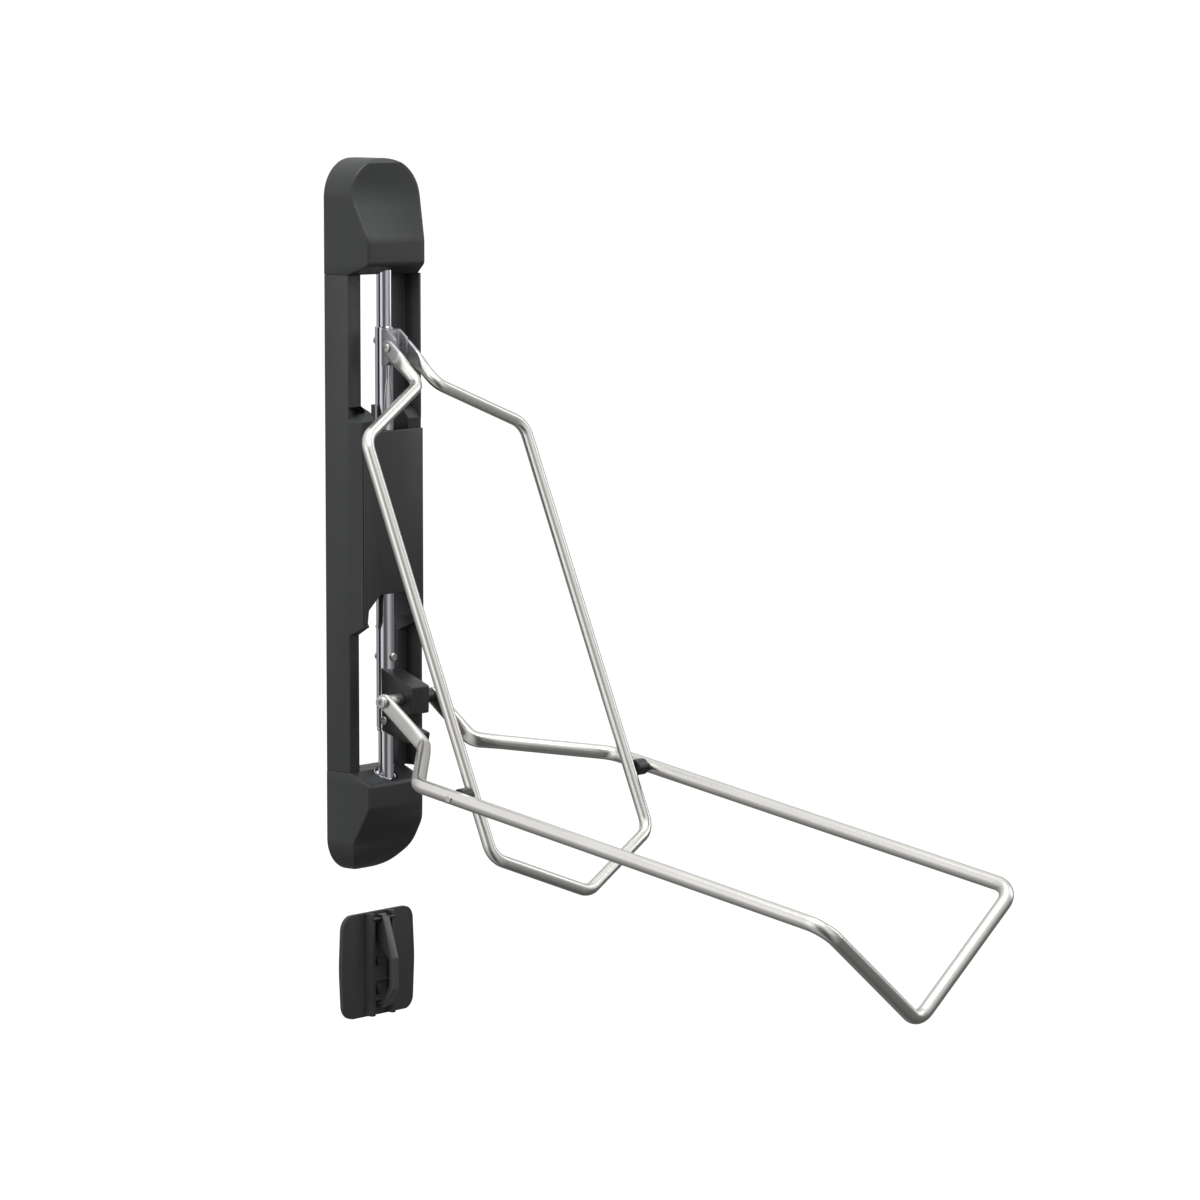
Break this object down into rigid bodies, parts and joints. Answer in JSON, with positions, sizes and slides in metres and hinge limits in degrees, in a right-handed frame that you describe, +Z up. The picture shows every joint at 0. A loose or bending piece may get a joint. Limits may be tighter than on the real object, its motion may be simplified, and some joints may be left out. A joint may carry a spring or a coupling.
{
  "type": "bicycle wall rack",
  "caption": "Vertical wall rack: a slim housing with a pole, a swinging carriage of two bent-tube frames that cradle a wheel, and a separate tyre rest below.",
  "frame": {"origin": "centre of the back plate's rear face, on the wall plane, on the pole's centre line", "axes": "+Y into the wall, +Z up along the pole, +X to the right of someone facing the wall"},
  "size_m": [0.3028, 0.7025, 0.8509],
  "materials": {
    "black_plastic": "fine-grained black moulded cover",
    "dark_nylon": "satin black nylon",
    "satin_stainless": "satin stainless tube",
    "chromed_steel": "polished chrome",
    "cast_aluminium": "bead-blasted casting",
    "zinc_steel": "bright zinc plate"
  },
  "bodies": {
    "root": {"housing_body": "black_plastic", "front_panel": "black_plastic", "upper_cap": "black_plastic", "lower_cap": "black_plastic", "tyre_rest_plate": "black_plastic", "tyre_rest_pin": "dark_nylon", "tyre_rest_screw_1": "dark_nylon", "tyre_rest_screw_2": "dark_nylon", "pole": "chromed_steel", "pole_ring": "chromed_steel", "stop_collar": "chromed_steel", "back_plate": "zinc_steel", "plate_screw_1": "zinc_steel", "plate_screw_2": "zinc_steel", "plate_screw_3": "zinc_steel", "plate_screw_4": "zinc_steel", "upper_bracket": "zinc_steel", "lower_bracket": "zinc_steel", "upper_bracket_screw_1": "zinc_steel", "upper_bracket_screw_2": "zinc_steel", "lower_bracket_screw_1": "zinc_steel", "lower_bracket_screw_2": "zinc_steel", "upper_pole_nut": "zinc_steel", "lower_pole_nut": "zinc_steel"},
    "mast": {"lower_sleeve": "chromed_steel", "pivot_block": "dark_nylon", "pivot_bolt_left": "zinc_steel", "pivot_bolt_right": "zinc_steel", "pivot_spacer_left": "zinc_steel", "pivot_spacer_right": "dark_nylon", "block_screw": "zinc_steel", "sleeve_screw_front": "zinc_steel", "sleeve_screw_rear": "zinc_steel", "lower_strut_lug": "cast_aluminium", "strut_cylinder": "dark_nylon"},
    "slider": {"upper_sleeve": "chromed_steel", "clevis": "cast_aluminium", "clevis_screw_left": "zinc_steel", "clevis_screw_right": "zinc_steel", "sleeve_screw_upper": "zinc_steel", "upper_strut_lug": "cast_aluminium", "strut_rod": "chromed_steel"},
    "hoop": {"upright_hoop": "satin_stainless"},
    "lower_frame": {"lower_frame": "satin_stainless", "crossing_bush_left": "dark_nylon", "crossing_bush_right": "dark_nylon", "crossing_rivet_left": "satin_stainless", "crossing_rivet_right": "satin_stainless"},
    "rest_bail": {"tyre_rest_bail": "dark_nylon"}
  },
  "joints": [
    {"name": "swing", "type": "hinge", "parent": "root", "child": "mast", "pos_m": [0, -0.04, 0], "axis": [0, 0, 1], "range_deg": [-40, 16]},
    {"name": "lift", "type": "slide", "parent": "mast", "child": "slider", "axis": [0, 0, 1], "range_m": [-0.042, 0]},
    {"name": "hoop_hinge", "type": "hinge", "parent": "slider", "child": "hoop", "pos_m": [0, -0.057, 0.167], "axis": [1, 0, 0], "range_deg": [0, 4.2]},
    {"name": "tilt", "type": "hinge", "parent": "mast", "child": "lower_frame", "pos_m": [0, -0.0704, -0.176], "axis": [1, 0, 0], "range_deg": [0, 18], "stiffness_Nm_per_rad": 8, "springref_deg": -100.27},
    {"name": "bail_swing", "type": "hinge", "parent": "root", "child": "rest_bail", "pos_m": [0.0265, -0.0108, -0.4034], "axis": [1, 0, 0], "range_deg": [-75, 0]}
  ],
  "couplings": [
    {"joint": "lift", "follows": "tilt", "m_per_rad": -0.1305},
    {"joint": "hoop_hinge", "follows": "tilt", "ratio": 0.222}
  ]
}
